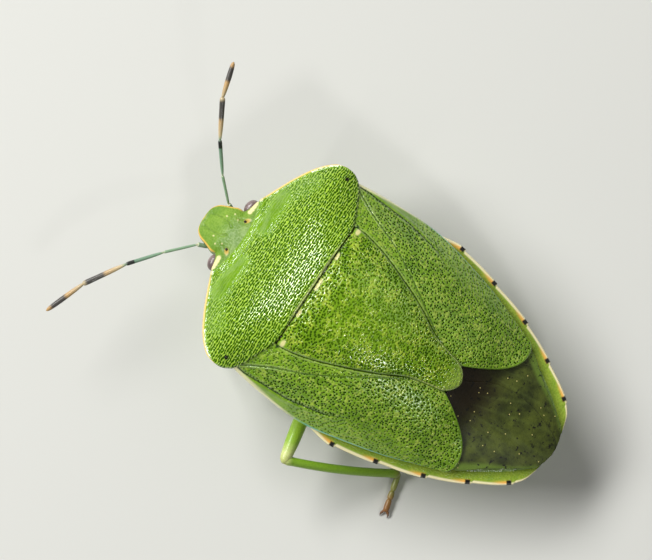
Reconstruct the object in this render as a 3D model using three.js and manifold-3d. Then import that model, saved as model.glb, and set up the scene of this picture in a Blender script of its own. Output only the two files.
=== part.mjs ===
// A life-size model of a green shield bug, standing at rest with its wings folded.
//
// Millimetres, +Z up. The head points along -Y and the animal's left side is +X.
// Along the body, places are given as s, the distance behind the tip of the head, and x, the distance to
// the left of the plane that divides the animal into two halves. The origin is on the floor, at the centre
// of the box that holds the whole animal with its feelers.

import * as THREE from 'three';
import { mergeVertices } from 'three/addons/utils/BufferGeometryUtils.js';
import Module from 'manifold-3d';

const wasm = await Module();
wasm.setup();

// Driving sizes
const GAP = 0.28;          // clearance between neighbouring pieces
const MID_X = 0.6;         // the box's centre, to the left of the body's own middle plane
const MID_S = 6.95;        // the box's centre, behind the tip of the head
const SHEET = 0.55;        // thickness of a folded wing
const SOLE_Z = 0.22;       // height of a foot's centre line above the floor
const RIM_THICKNESS = 0.5; // the thinnest edge of the body
const LIMB_SIDES = 8;      // flat sides round a limb
const FRONT_HALF = 1.8;    // half the width of the shield where it meets the head
const FRONT_S = 1.52;      // where the shield's front corners lie
const FRONT_SAG = 0.5;     // how far the shield's front edge bows back in its middle
const REAR_S = 5.46;       // where the shield ends and the scutellum begins, at the middle

const mix = (a, b, t) => a + (b - a) * t;

// A smooth function through a few [position, value] knots.
function through(knots) {
  const slope = (i) => {
    const a = knots[Math.max(0, i - 1)];
    const b = knots[Math.min(knots.length - 1, i + 1)];
    return (b[1] - a[1]) / (b[0] - a[0]);
  };
  return (at) => {
    const p = THREE.MathUtils.clamp(at, knots[0][0], knots[knots.length - 1][0]);
    let i = 0;
    while (i < knots.length - 2 && p > knots[i + 1][0]) i += 1;
    const span = knots[i + 1][0] - knots[i][0];
    const t = (p - knots[i][0]) / span;
    const t2 = t * t;
    const t3 = t2 * t;
    return (2 * t3 - 3 * t2 + 1) * knots[i][1] + (t3 - 2 * t2 + t) * span * slope(i)
      + (3 * t2 - 2 * t3) * knots[i + 1][1] + (t3 - t2) * span * slope(i + 1);
  };
}

// A smooth plan curve through [x, s] points, read by its share of length.
function planCurve(points) {
  const curve = new THREE.SplineCurve(points.map(([x, s]) => new THREE.Vector2(x, s)));
  return (t) => {
    const p = curve.getPointAt(THREE.MathUtils.clamp(t, 0, 1));
    return [p.x, p.y];
  };
}

// The body's form, as heights above the floor along s
const rim = through([[0, 3.1], [1.4, 3.85], [3.6, 4.75], [5, 4.5], [7, 4.05], [9.7, 3.78], [12, 3.6],
  [14, 3.45], [17.5, 3.3]]);
const ridge = through([[1.4, 4.3], [1.95, 4.65], [3, 5.55], [4, 6.25], [5.4, 6.82], [7, 6.95], [9, 6.72],
  [11, 6.1], [12.6, 5.5], [14, 4.75], [16, 4.2], [17.5, 3.75]]);
const keel = through([[1.4, 2.2], [4, 2.0], [7, 1.65], [9.5, 1.3], [11.5, 1.3], [13.5, 1.7], [15.5, 2.4],
  [17.4, 3.1]]);
const reach = through([[1.4, 2.4], [2.5, 3.8], [3.65, 4.95], [5, 4.9], [7.6, 5.0], [9.7, 4.95], [11.6, 4.5],
  [13.6, 3.88], [15.3, 3.05], [16.75, 2.1], [17.5, 1.3]]);
const dorsum = (x, s) => rim(s) + (ridge(s) - rim(s)) * (1 - Math.min(1, Math.abs(x) / reach(s)) ** 2.3);
const venter = (x, s) => rim(s) - (rim(s) - keel(s)) * (1 - Math.min(1, Math.abs(x) / reach(s)) ** 2.1);

// Solids
function solidOf(geometry) {
  geometry.deleteAttribute('normal');
  geometry.deleteAttribute('uv');
  const merged = mergeVertices(geometry, 1e-4);
  return new wasm.Manifold(new wasm.Mesh({
    numProp: 3,
    vertProperties: new Float32Array(merged.attributes.position.array),
    triVerts: new Uint32Array(merged.index.array),
  }));
}

function geometryOf(solid) {
  const mesh = solid.getMesh();
  const positions = new Float32Array(mesh.numVert * 3);
  for (let i = 0; i < mesh.numVert; i += 1) {
    positions.set(mesh.vertProperties.subarray(i * mesh.numProp, i * mesh.numProp + 3), i * 3);
  }
  const geometry = new THREE.BufferGeometry();
  geometry.setAttribute('position', new THREE.BufferAttribute(positions, 3));
  geometry.setIndex(new THREE.BufferAttribute(new Uint32Array(mesh.triVerts), 1));
  return geometry;
}

// Keeps the largest closed surface of a solid.
function largest(solid) {
  return solid.decompose().reduce((best, body) => (body.volume() > best.volume() ? body : best));
}

const union = (solids) => solids.reduce((all, next) => all.add(next));
const without = (solid, tools) => tools.reduce((left, tool) => left.subtract(tool), solid);

// A closed slab between a grid of upper points and a grid of lower ones. A row holds { x, s, top, bottom }.
function slab(rows) {
  const across = rows[0].length;
  const count = rows.length * across;
  const positions = [];
  for (const side of ['top', 'bottom']) {
    for (const row of rows) {
      for (const p of row) positions.push(p.x - MID_X, p.s - MID_S, p[side]);
    }
  }
  const index = [];
  const at = (i, j) => j * across + i;
  for (let j = 0; j < rows.length - 1; j += 1) {
    for (let i = 0; i < across - 1; i += 1) {
      const [a, b, c, d] = [at(i, j), at(i + 1, j), at(i + 1, j + 1), at(i, j + 1)];
      const quad = i < (across - 1) / 2 ? [a, b, d, b, c, d] : [a, b, c, a, c, d];
      index.push(...quad);
      index.push(...quad.reverse().map((k) => k + count));
    }
  }
  const loop = [];
  for (let i = 0; i < across - 1; i += 1) loop.push(at(i, 0));
  for (let j = 0; j < rows.length - 1; j += 1) loop.push(at(across - 1, j));
  for (let i = across - 1; i > 0; i -= 1) loop.push(at(i, rows.length - 1));
  for (let j = rows.length - 1; j > 0; j -= 1) loop.push(at(0, j));
  loop.forEach((a, k) => {
    const b = loop[(k + 1) % loop.length];
    index.push(a, a + count, b + count, a, b + count, b);
  });
  const geometry = new THREE.BufferGeometry();
  geometry.setAttribute('position', new THREE.Float32BufferAttribute(positions, 3));
  geometry.setIndex(index);
  return solidOf(geometry);
}

// A slab over a patch with four curved sides. front and back run across, near and far run along the body.
function patch({ front, back, near, far, across, along, top, bottom }) {
  const rows = [];
  const corners = [front(0), front(1), back(0), back(1)];
  for (let j = 0; j <= along; j += 1) {
    const v = j / along;
    const row = [];
    for (let i = 0; i <= across; i += 1) {
      const u = i / across;
      const [x, s] = [0, 1].map((k) => mix(front(u)[k], back(u)[k], v) + mix(near(v)[k], far(v)[k], u)
        - mix(mix(corners[0][k], corners[1][k], u), mix(corners[2][k], corners[3][k], u), v));
      row.push({ x, s, top: top(x, s, u, v), bottom: bottom(x, s, u, v) });
    }
    rows.push(row);
  }
  return slab(rows);
}

// Places a point given as [x, s, z].
const place = ([x, s, z]) => new THREE.Vector3(x - MID_X, s - MID_S, z);

// A round limb from one point to another. The profile lists [share of the way, radius].
function spindle(from, to, profile, sides = LIMB_SIDES) {
  const a = place(from);
  const axis = place(to).sub(a);
  const long = axis.length();
  const points = [new THREE.Vector2(0, profile[0][0] * long)];
  for (const [t, r] of profile) points.push(new THREE.Vector2(r, t * long));
  points.push(new THREE.Vector2(0, profile[profile.length - 1][0] * long));
  const geometry = new THREE.LatheGeometry(points, sides);
  const turn = new THREE.Quaternion().setFromUnitVectors(new THREE.Vector3(0, 1, 0), axis.normalize());
  geometry.applyQuaternion(turn).translate(a.x, a.y, a.z);
  return solidOf(geometry);
}

function ball([x, s, z], [rx, rs, rz], sides = 12, rings = 8) {
  const geometry = new THREE.SphereGeometry(1, sides, rings);
  geometry.scale(rx, rs, rz).translate(x - MID_X, s - MID_S, z);
  return solidOf(geometry);
}

const bug = new THREE.Group();
const finishes = {
  cuticle: new THREE.MeshStandardMaterial({ color: '#5d8f2a', roughness: 0.35 }),
  corium: new THREE.MeshStandardMaterial({ color: '#4f7f2c', roughness: 0.4 }),
  belly: new THREE.MeshStandardMaterial({ color: '#86ad4e', roughness: 0.45 }),
  leg: new THREE.MeshStandardMaterial({ color: '#6f9a37', roughness: 0.45 }),
  feeler: new THREE.MeshStandardMaterial({ color: '#6b7a45', roughness: 0.5 }),
  eye: new THREE.MeshStandardMaterial({ color: '#5a4a45', roughness: 0.25 }),
};

function add(name, solid, finish) {
  const mesh = new THREE.Mesh(geometryOf(largest(solid)), finishes[finish]);
  mesh.name = name;
  bug.add(mesh);
}

const mirrored = ([x, ...rest]) => [-x, ...rest];

// The seams that part the back, as [x, s] points on the animal's left
const SIDE_OF_PRONOTUM = [[FRONT_HALF, FRONT_S], [3.05, 2.02], [4.2, 2.74], [4.72, 3.2], [4.9, 3.75]];
const REAR_OF_PRONOTUM = [[4.9, 3.75], [4.8, 4.25], [4.5, 4.63], [3.9, 4.95], [3.1, 5.33], [2.6, 5.45],
  [1.3, REAR_S], [0, REAR_S]];
const CLAVAL_FURROW = [[4.35, 4.8], [3.3, 6.85], [2.05, 9.2], [1.3, 10.5]];
const COSTAL_EDGE = [[4.68, 4.62], [4.86, 6.0], [4.97, 7.6], [4.88, 8.7], [4.6, 9.75], [4.1, 11.6], [3.56, 13.2],
  [3.32, 13.95]];
const CORIUM_END = [[0.72, 12.2], [1.0, 12.95], [1.5, 13.7], [1.95, 14.15], [2.45, 14.42], [2.95, 14.42],
  [3.24, 14.22], [3.32, 13.95]];
const frontOfPronotum = (x) => FRONT_S + FRONT_SAG * (1 - (x / FRONT_HALF) ** 2);
const scutellumHalf = through([[REAR_S, 2.86], [6, 2.84], [7, 2.62], [8, 2.24], [9.5, 1.62], [10.6, 1.06],
  [11.5, 0.82], [12.1, 0.68], [12.45, 0.42], [12.62, 0.14]]);

// Prothorax: the shield behind the head, with the sides and underside below it
const pronotumRear = planCurve(REAR_OF_PRONOTUM);
const pronotumSide = planCurve(SIDE_OF_PRONOTUM);
const prothorax = patch({
  front: (u) => [FRONT_HALF * (2 * u - 1), frontOfPronotum(FRONT_HALF * (2 * u - 1))],
  back: (u) => (u < 0.5 ? mirrored(pronotumRear(2 * u)) : pronotumRear(2 - 2 * u)),
  near: (v) => mirrored(pronotumSide(v)),
  far: (v) => pronotumSide(v),
  across: 16,
  along: 9,
  top: (x, s) => dorsum(x, s),
  bottom: (x, s) => Math.min(venter(x, s), dorsum(x, s) - RIM_THICKNESS),
});

// Scutellum: the long triangle over the middle of the back
const SCUTELLUM_DEPTH = 0.8;
const SCUTELLUM_RISE = 0.1;    // how much its middle stands above the wings' level
const SCUTELLUM_FALL = 0.12;   // how much its sides drop
const scutellumStations = [REAR_S + GAP, 5.9, 6.6, 7.4, 8.3, 9.2, 10.1, 10.9, 11.6, 12.1, 12.4, 12.55];
const scutellum = slab(scutellumStations.map((s) => {
  const half = Math.max(GAP / 2, scutellumHalf(s) - GAP / 2);
  return [-1, -0.85, -0.5, 0, 0.5, 0.85, 1].map((u) => {
    const x = u * half;
    const top = dorsum(x, s) + SCUTELLUM_RISE - SCUTELLUM_FALL * Math.abs(u) ** 4;
    return { x, s, top, bottom: top - SCUTELLUM_DEPTH };
  });
}));

// Folded forewings: a leathery front part in two fields, and a thin membrane behind it
const WING_DROP = 0.16;   // the wing lies this much below the scutellum's level
const VEIN = 0.09;        // height of a vein
const membraneDrop = through([[11.9, 0], [12.7, 0.3], [13.7, 0.3], [14.9, 0.08], [17.5, 0.08]]);
const overlap = through([[12.7, 0.3], [13.5, 0.72], [14.2, 0.95], [15, 1.02], [16, 0.9], [17, 0.6],
  [17.45, 0.25]]);
const membraneEdge = through([[12.3, 1.0], [12.7, 1.2], [13.4, 1.6], [14, 2.2], [14.45, 2.95], [15.55, 2.2],
  [16.55, 1.6], [17.2, 1.1], [17.5, 0.55]]);
const FURROW_CLEARANCE = GAP + 0.05;   // the wing's fields begin this far behind the shield
const wingTop = (x, s) => dorsum(x, s) - WING_DROP;
const edgeRoll = (u) => 0.1 * (Math.abs(2 * u - 1) ** 6);

function wing(side) {
  const costal = planCurve(COSTAL_EDGE.map(([x, s], i) => [x, s + (i === 0 ? GAP : 0)]));
  const furrow = planCurve(CLAVAL_FURROW.map(([x, s], i) => [x, s + (i === 0 ? FURROW_CLEARANCE : 0)]));
  const beyondFurrow = planCurve([
    ...CLAVAL_FURROW.map(([x, s], i) => [x - 0.02, s + (i === 0 ? FURROW_CLEARANCE : 0)]),
    [0.82 + GAP, 11.5],
    [0.72 + GAP, 12.2],
  ]);
  const scutellumSide = planCurve([6.0, 7, 8, 9.3, 10.6].map((s) => [scutellumHalf(s) + GAP / 2 + 0.05, s]));
  const end = planCurve([[0.72 + GAP, 12.2], ...CORIUM_END.slice(1)]);
  const sheet = {
    top: (x, s, u) => wingTop(x, s) - edgeRoll(u),
    bottom: (x, s) => wingTop(x, s) - SHEET,
  };
  const flip = (build) => {
    const made = build();
    return side > 0 ? made : made.translate([MID_X, 0, 0]).mirror([1, 0, 0]).translate([-MID_X, 0, 0]);
  };
  const clavus = flip(() => patch({
    front: (u) => [mix(3.12, 4.42, u), mix(5.72, 5.0, u)],
    back: (u) => [mix(1.24, 1.34, u), 10.6],
    near: (v) => (v < 0.06 ? [3.12, mix(5.72, 6.0, v / 0.06)] : scutellumSide((v - 0.06) / 0.94)),
    far: (v) => furrow(v),
    across: 4,
    along: 9,
    ...sheet,
  }));
  const corium = flip(() => patch({
    front: (u) => [mix(4.33, 4.68, u), mix(5.11, 4.88, u)],
    back: (u) => end(u),
    near: (v) => beyondFurrow(v),
    far: (v) => costal(v),
    across: 7,
    along: 12,
    top: (x, s, u, v) => sheet.top(x, s, u) + (Math.abs(u - 5 / 7) < 0.01 ? VEIN * (1 - v) : 0),
    bottom: sheet.bottom,
  }));
  const cells = side > 0 ? 12 : 6;
  const rows = [];
  const stations = [12.3, 12.62, 12.95, 13.4, 13.9, 14.4, 15, 15.6, 16.2, 16.8, 17.25, 17.5];
  for (const s of stations) {
    const free = side > 0 ? -overlap(s) : overlap(s) + GAP;
    const inside = s < 12.8 ? Math.max(free, scutellumHalf(s) + GAP) : free;
    const outside = membraneEdge(s);
    if (outside - inside < 0.3) continue;
    rows.push(Array.from({ length: cells + 1 }, (_, i) => {
      const x = mix(inside, outside, i / cells);
      const level = wingTop(x, s) - membraneDrop(s);
      return { x, s, top: level + (i % 2 ? VEIN : 0), bottom: level - SHEET * 0.9 };
    }));
  }
  const membrane = flip(() => slab(rows));
  return union([clavus, corium, membrane]);
}

// Thorax: the underside between the shield and the belly
const WAIST = 8.3;
const rearSeamAt = through([[0, REAR_S], [2.6, 5.45], [3.1, 5.33], [3.9, 4.95], [4.5, 4.63], [4.9, 4.2]]);
const UNDER_CLEARANCE = 1.35 * GAP;    // measured upright, so that it keeps the gap where the body slopes
const THORAX_HALF = 4.45;
function underWings(x, s) {
  const wing = wingTop(x, s) - SHEET - membraneDrop(s);
  const middle = dorsum(x, s) + SCUTELLUM_RISE - SCUTELLUM_DEPTH;
  return Math.min(wing, middle) - UNDER_CLEARANCE;
}
function thoraxSolid() {
  const rows = [];
  for (let j = 0; j <= 6; j += 1) {
    const v = j / 6;
    const row = [];
    for (let i = -8; i <= 8; i += 1) {
      const x = (i / 8) * THORAX_HALF;
      const s = mix(rearSeamAt(Math.abs(x)) + GAP, WAIST - GAP / 2, v);
      const top = underWings(x, s);
      row.push({ x, s, top, bottom: Math.min(venter(x, s), top - RIM_THICKNESS) });
    }
    rows.push(row);
  }
  return slab(rows);
}

// Abdomen: the belly, with the segmented rim that shows beside the wings
const SEGMENT_ENDS = [9.67, 11.6, 13.6, 15.3, 16.78];
const NOTCH = 0.07;      // how far each rim plate stands out past the one behind it
const GROOVE = 0.1;      // depth of the groove between two plates
const bellyHalf = through([[8.3, 4.75], [9.0, 4.92], [9.67, 4.98], [11.6, 4.55], [13.6, 3.92], [15.3, 3.08],
  [16.78, 2.12], [17.2, 1.55]]);
function abdomenSolid() {
  const stations = [WAIST + GAP / 2, 8.9, 10.6, 12.6, 14.45, 16.05, 17.2];
  for (const end of SEGMENT_ENDS) stations.push(end - 0.12, end, end + 0.1);
  stations.sort((a, b) => a - b);
  return slab(stations.map((s) => {
    const groove = SEGMENT_ENDS.some((end) => Math.abs(end - s) < 0.01) ? GROOVE : 0;
    const behind = SEGMENT_ENDS.some((end) => s > end + 0.01 && s < end + 0.15);
    const half = bellyHalf(s) - (behind ? NOTCH : 0);
    return [-1, -0.93, -0.8, -0.6, -0.3, 0, 0.3, 0.6, 0.8, 0.93, 1].map((u) => {
      const x = u * half;
      const top = underWings(x, s) - groove * (Math.abs(u) > 0.9 ? 1 : 0);
      return { x, s, top, bottom: Math.min(venter(x, s) + groove, top - RIM_THICKNESS) };
    });
  }));
}

// Feelers of five joints
const FEELERS = {
  left: [[0.98, 0.62, 2.78], [1.12, 0.28, 3.05], [2.2, -0.68, 3.3], [3.51, -1.68, 3.5], [5.2, -2.71, 3.4],
    [6.95, -3.38, 3.0]],
  right: [[-0.98, 0.62, 2.78], [-1.05, 0.38, 3.1], [-1.8, -0.4, 3.95], [-2.86, -1.22, 4.95], [-4.28, -2.02, 5.8],
    [-5.69, -2.42, 6.2]],
};
const FEELER_R = 0.25;
function feelerSolid(joints) {
  const R = FEELER_R;
  return union(joints.slice(1).map((to, i) => {
    const last = i === joints.length - 2;
    const ends = last ? [[0.9, R * 0.75], [1, R * 0.3]] : [[0.97, R], [1.02, R * 0.75]];
    return spindle(joints[i], to, [[-0.02, R * 0.75], [0.04, R * 0.95], [0.5, R * 1.05], ...ends]);
  }));
}

// Head, with sockets for the eyes and a tubercle behind each feeler
const EYE_AT = [1.34, 1.28, 3.68];
const EYE_RADII = [0.38, 0.37, 0.35];
const eyeBall = (k, radii) => ball([EYE_AT[0] * k, EYE_AT[1], EYE_AT[2]], radii, 12, 8);
const sockets = [1, -1].map((k) => eyeBall(k, EYE_RADII.map((r) => r + GAP)));
const SOCKET_R = FEELER_R + GAP + 0.05;   // room round the root of a feeler
const headHalf = through([[-0.08, 0.4], [0.0, 0.62], [0.12, 0.77], [0.28, 0.85], [0.56, 0.93], [0.85, 1.02],
  [1.1, 1.2], [1.75, 1.42]]);
const headCrown = through([[0, 3.35], [0.5, 3.75], [1, 4.1], [1.95, 4.6]]);
const headFloor = through([[0, 2.8], [0.5, 2.45], [1, 2.25], [2, 2.1]]);
function headSolid() {
  const stations = [-0.08, 0.0, 0.12, 0.28, 0.56, 0.85, 1.1, 1.4, 1.72];
  const rows = stations.map((station, j) => {
    const bend = 0.38 * (j / (stations.length - 1)) ** 2;
    const half = headHalf(station);
    return Array.from({ length: 11 }, (_, i) => {
      const u = i / 5 - 1;
      const s = station - bend * u * u;
      const side = Math.abs(u) ** 2.4;
      const groove = Math.abs(Math.abs(u) - 0.4) < 0.01 && s < 1.2 ? 0.06 : 0;
      return {
        x: u * half,
        s,
        top: headCrown(s) - mix(0.12, 0.42, station / 1.75) * side - groove,
        bottom: headFloor(s) + mix(0.02, 0.6, station / 1.75) * side,
      };
    });
  });
  const tubercles = [1, -1].map((k) => ball([0.9 * k, 1.1, 2.8], [0.3, 0.36, 0.3], 8, 6));
  const ocelli = [1, -1].map((k) => ball([0.62 * k, 1.42, 4.28], [0.1, 0.1, 0.1], 6, 4));
  const roots = Object.values(FEELERS).flatMap(([base, next]) => [base, next]);
  const hollows = roots.map((p) => ball(p, [SOCKET_R, SOCKET_R, SOCKET_R], 12, 8));
  return without(union([slab(rows), ...tubercles, ...ocelli]), [...sockets, ...hollows]);
}

// Beak, folded back under the body
const BEAK_R = 0.25;
function beakSolid() {
  const R = BEAK_R;
  const path = [[0, 0.55, 1.9], [0, 1.7, 1.55], [0, 3.6, 1.45], [0, 5.3, 1.28], [0, 6.6, 1.12]];
  return union(path.slice(1).map((to, i) => spindle(path[i], to, [
    [-0.03, R * 0.6], [0.04, R], [0.96, R * (i === 3 ? 0.7 : 0.95)], [1.03, R * 0.55],
  ])));
}

// Legs: coxa with femur, shin, and foot with two claws
const COXA_R = 0.52;
const FEMUR_R = 0.31;
const SHIN_R = 0.25;
const FOOT_R = 0.25;
const CLAW_R = 0.14;
const CLAW_SPREAD = 0.3;
const ANKLE_Z = 0.62;
const leg = (coxa, knee, ankle, toe) => ({ coxa, knee, ankle: [...ankle, ANKLE_Z], toe: [...toe, SOLE_Z] });
const LEGS = {
  front_left: leg([1.3, 3.9, 2.05], [4.2, 3.9, 2.7], [3.95, 2.95], [2.6, 2.3]),
  middle_left: leg([1.45, 5.95, 1.9], [4.4, 5.95, 2.65], [4.2, 7.1], [3.9, 8.7]),
  hind_left: leg([1.5, 7.4, 1.75], [6.49, 8.52, 2.75], [4.35, 12.85], [6.17, 13.34]),
  front_right: leg([-1.3, 3.9, 2.05], [-4.2, 3.9, 2.7], [-3.9, 2.9], [-2.5, 2.2]),
  middle_right: leg([-1.45, 5.95, 1.9], [-4.4, 5.95, 2.65], [-4.15, 7.1], [-4.0, 8.75]),
  hind_right: leg([-1.5, 7.4, 1.75], [-4.35, 10.9, 1.85], [-2.75, 15.1], [-2.1, 16.75]),
};
const between = (a, b, t) => a.map((v, i) => mix(v, b[i], t));
const span = (a, b) => Math.hypot(...a.map((v, i) => v - b[i]));
const towards = (a, b, d) => between(a, b, d / span(a, b));

const floor = solidOf(new THREE.BoxGeometry(60, 60, 4).translate(0, 0, -2));

function femurSolid({ coxa, knee }) {
  const below = [coxa[0] * 1.12, coxa[1], coxa[2] - 0.55];
  const profile = [[-0.04, 0.2], [0.03, 0.3], [0.4, FEMUR_R], [0.75, 0.29], [0.96, 0.27], [1.04, 0.16]];
  const thigh = spindle(below, knee, profile);
  return union([ball(coxa, [COXA_R, COXA_R, COXA_R], 10, 6), thigh]);
}
function shinSolid({ coxa, knee, ankle }) {
  const bend = place(coxa).sub(place(knee)).angleTo(place(ankle).sub(place(knee)));
  const from = towards(knee, ankle, FEMUR_R + GAP + 0.25 * Math.cos(bend));
  const profile = [[0, 0.8], [0.06, 1], [0.9, 1], [0.985, 1.1], [1, 0.7]].map(([t, r]) => [t, r * SHIN_R]);
  return spindle(from, ankle, profile);
}
function footSolid({ ankle, toe }) {
  const from = towards([ankle[0], ankle[1], SOLE_Z + 0.1], toe, 0.46);
  const joints = [from, between(from, toe, 0.42), between(from, toe, 0.62), between(from, toe, 0.88)];
  const pads = joints.slice(1).map((to, i) => spindle(joints[i], to, [
    [0, FOOT_R * 0.8], [0.2, FOOT_R], [0.9, FOOT_R * 1.02], [1.05, FOOT_R * 0.7],
  ]));
  const ahead = towards(toe, between(from, toe, 2), 0.05);
  const across = new THREE.Vector3(-(toe[1] - from[1]), toe[0] - from[0], 0).normalize();
  const claws = [1, -1].map((k) => spindle(
    between(from, toe, 0.82),
    [ahead[0] + across.x * CLAW_SPREAD * k, ahead[1] + across.y * CLAW_SPREAD * k, 0.12],
    [[0, CLAW_R], [0.6, CLAW_R * 0.93], [1, CLAW_R * 0.36]],
    6,
  ));
  return union([...pads, ...claws]).subtract(floor);
}

// Cups under the body, one for each coxa
const CUP_R = COXA_R + GAP;
const cups = Object.values(LEGS).map(({ coxa }) => ball(coxa, [CUP_R, CUP_R, CUP_R], 10, 6));

add('head', headSolid(), 'cuticle');
for (const [k, side] of [[1, 'left'], [-1, 'right']]) {
  add(`eye_${side}`, eyeBall(k, EYE_RADII), 'eye');
  add(`antenna_${side}`, feelerSolid(FEELERS[side]), 'feeler');
}
add('rostrum', beakSolid(), 'leg');
add('pronotum', without(prothorax, [...cups, ...sockets]), 'cuticle');
add('scutellum', scutellum, 'cuticle');
add('thorax', without(thoraxSolid(), cups), 'belly');
add('forewing_left', wing(1), 'corium');
add('forewing_right', wing(-1), 'corium');
add('abdomen', abdomenSolid(), 'belly');
for (const [which, joints] of Object.entries(LEGS)) {
  add(`leg_${which}_femur`, femurSolid(joints), 'leg');
  add(`leg_${which}_tibia`, shinSolid(joints), 'leg');
  add(`leg_${which}_tarsus`, footSolid(joints), 'leg');
}

export default bug;
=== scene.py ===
"""A green shield bug, life size, standing at rest with folded wings.

Places on the animal are in millimetres as (x, s, z): x to the left of its middle plane, s behind the tip of
its head and z above the floor. The finished meshes are in metres. The head points along -Y.
"""
import math

import bpy
import numpy as np
from mathutils import Matrix, Vector


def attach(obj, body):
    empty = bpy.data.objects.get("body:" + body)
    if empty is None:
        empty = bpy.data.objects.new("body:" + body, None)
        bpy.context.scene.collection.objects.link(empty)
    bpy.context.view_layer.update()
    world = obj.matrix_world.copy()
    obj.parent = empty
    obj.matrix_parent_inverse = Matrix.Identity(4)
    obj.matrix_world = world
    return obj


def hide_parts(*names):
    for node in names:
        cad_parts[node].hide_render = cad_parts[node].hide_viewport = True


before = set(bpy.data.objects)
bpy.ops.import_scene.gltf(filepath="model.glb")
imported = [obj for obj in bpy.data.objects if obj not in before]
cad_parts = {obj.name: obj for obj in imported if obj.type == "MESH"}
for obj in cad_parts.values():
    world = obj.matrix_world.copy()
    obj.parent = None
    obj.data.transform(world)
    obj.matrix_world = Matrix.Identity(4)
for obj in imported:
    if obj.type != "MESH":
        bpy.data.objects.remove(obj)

bl_info = {
    "name": "Shield bug",
    "version": (1, 0, 0),
    "blender": (4, 5, 0),
    "location": "View3D > Sidebar > Shield bug",
    "description": "Builds a life-size green shield bug, its wings folded, on a plain floor",
    "category": "Add Mesh",
}

MM = 0.001
TO_MM = (1 / MM,) * 3
MID_X = 0.6   # the middle of the box that holds the whole animal, left of the body's own middle plane
MID_S = 6.95  # the same, behind the tip of the head

LENGTH = {"unit": "LENGTH", "subtype": "DISTANCE", "precision": 6}
COLOUR = {"subtype": "COLOR", "size": 4, "min": 0.0, "max": 1.0}
SIDES = (("left", 1), ("right", -1))


def linear(code):
    """An sRGB hex colour as linear RGBA."""
    parts = [int(code[i:i + 2], 16) / 255 for i in (1, 3, 5)]
    return (*[c / 12.92 if c <= 0.04045 else ((c + 0.055) / 1.055) ** 2.4 for c in parts], 1.0)


# Measures that the panel shows
class BugSettings(bpy.types.PropertyGroup):
    grain: bpy.props.FloatProperty(
        name="Mesh grain", description="Distance between neighbouring points of the shell's meshes",
        default=0.028 * MM, min=0.01 * MM, **LENGTH)
    pit_spacing: bpy.props.FloatProperty(
        name="Puncture spacing", description="Distance between neighbouring punctures in the cuticle",
        default=0.1 * MM, min=0.02 * MM, **LENGTH)
    pit_depth: bpy.props.FloatProperty(
        name="Puncture depth", description="Depth of a puncture in the cuticle",
        default=0.016 * MM, min=0.0, **LENGTH)
    wing_drop: bpy.props.FloatProperty(
        name="Wing drop", description="How far the folded wings lie below the scutellum's level",
        default=0.11 * MM, min=0.0, **LENGTH)
    facet: bpy.props.FloatProperty(
        name="Eye facet", description="Distance between neighbouring facets of a compound eye",
        default=0.028 * MM, min=0.01 * MM, **LENGTH)
    hair_length: bpy.props.FloatProperty(
        name="Hair length", description="Length of the fine hairs on legs and feelers",
        default=0.11 * MM, min=0.0, **LENGTH)
    hair_count: bpy.props.IntProperty(
        name="Hairs to a limb", description="Number of hairs on one shin", default=150, min=0)
    shield_green: bpy.props.FloatVectorProperty(
        name="Shield", description="Main colour of the pronotum", default=linear("#78a416"), **COLOUR)
    scutellum_green: bpy.props.FloatVectorProperty(
        name="Scutellum", description="Main colour of the scutellum", default=linear("#7ea61e"), **COLOUR)
    wing_green: bpy.props.FloatVectorProperty(
        name="Wing", description="Main colour of the forewings", default=linear("#80a822"), **COLOUR)
    head_green: bpy.props.FloatVectorProperty(
        name="Head", description="Main colour of the head", default=linear("#7c9e2c"), **COLOUR)
    paper: bpy.props.FloatVectorProperty(
        name="Floor", description="Colour of the paper on the floor", default=linear("#cfcfc9"), **COLOUR)
    lens: bpy.props.FloatProperty(
        name="Lens", description="Focal length of the camera", default=100.0, min=10.0)


# Curves and forms
def through(knots):
    """A smooth function through (position, value) knots."""
    at, value = np.array(knots, float).T
    slope = np.gradient(value, at)
    slope[1:-1] = (value[2:] - value[:-2]) / (at[2:] - at[:-2])

    def read(position):
        p = np.clip(position, at[0], at[-1])
        i = np.clip(np.searchsorted(at, p, side="right") - 1, 0, len(at) - 2)
        span = at[i + 1] - at[i]
        t = (p - at[i]) / span
        start = (2 * t**3 - 3 * t**2 + 1) * value[i] + (t**3 - 2 * t**2 + t) * span * slope[i]
        return start + (3 * t**2 - 2 * t**3) * value[i + 1] + (t**3 - t**2) * span * slope[i + 1]

    return read


def plan_curve(points):
    """A smooth curve through (x, s) points, read by its share of length."""
    points = np.array(points, float)
    steps = np.hypot(*np.diff(points, axis=0).T)
    share = np.concatenate([[0.0], np.cumsum(steps)]) / steps.sum()
    x, s = (through(list(zip(share, points[:, k]))) for k in (0, 1))
    return lambda t: (x(t), s(t))


def mix(a, b, t):
    """The value a share t of the way from a to b."""
    return a + (b - a) * t


def smooth(value, low, high):
    """0 below low and 1 above high, with a soft change between."""
    t = np.clip((value - low) / (high - low), 0.0, 1.0)
    return t * t * (3 - 2 * t)


def fall(value, low, high):
    """1 below low and 0 above high, with a soft change between."""
    return 1 - smooth(value, low, high)


def highest(*parts):
    """The largest of several values at each place."""
    return np.maximum.reduce(parts)


def near_points(x, s, points, radius):
    """1 at each (x, s) point and its mirror image, falling to 0 at the radius."""
    best = np.zeros_like(x)
    for px, ps in points:
        away = np.hypot(np.abs(x) - px, s - ps)
        best = np.maximum(best, fall(away, radius * 0.5, radius))
    return best


def away_from(x, s, points):
    """Distance to the broken line through (x, s) points."""
    best = np.full_like(x, 1e9)
    for (ax, as_), (bx, bs) in zip(points[:-1], points[1:]):
        dx, ds = bx - ax, bs - as_
        t = np.clip(((x - ax) * dx + (s - as_) * ds) / (dx * dx + ds * ds), 0, 1)
        best = np.minimum(best, np.hypot(x - ax - t * dx, s - as_ - t * ds))
    return best


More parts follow.
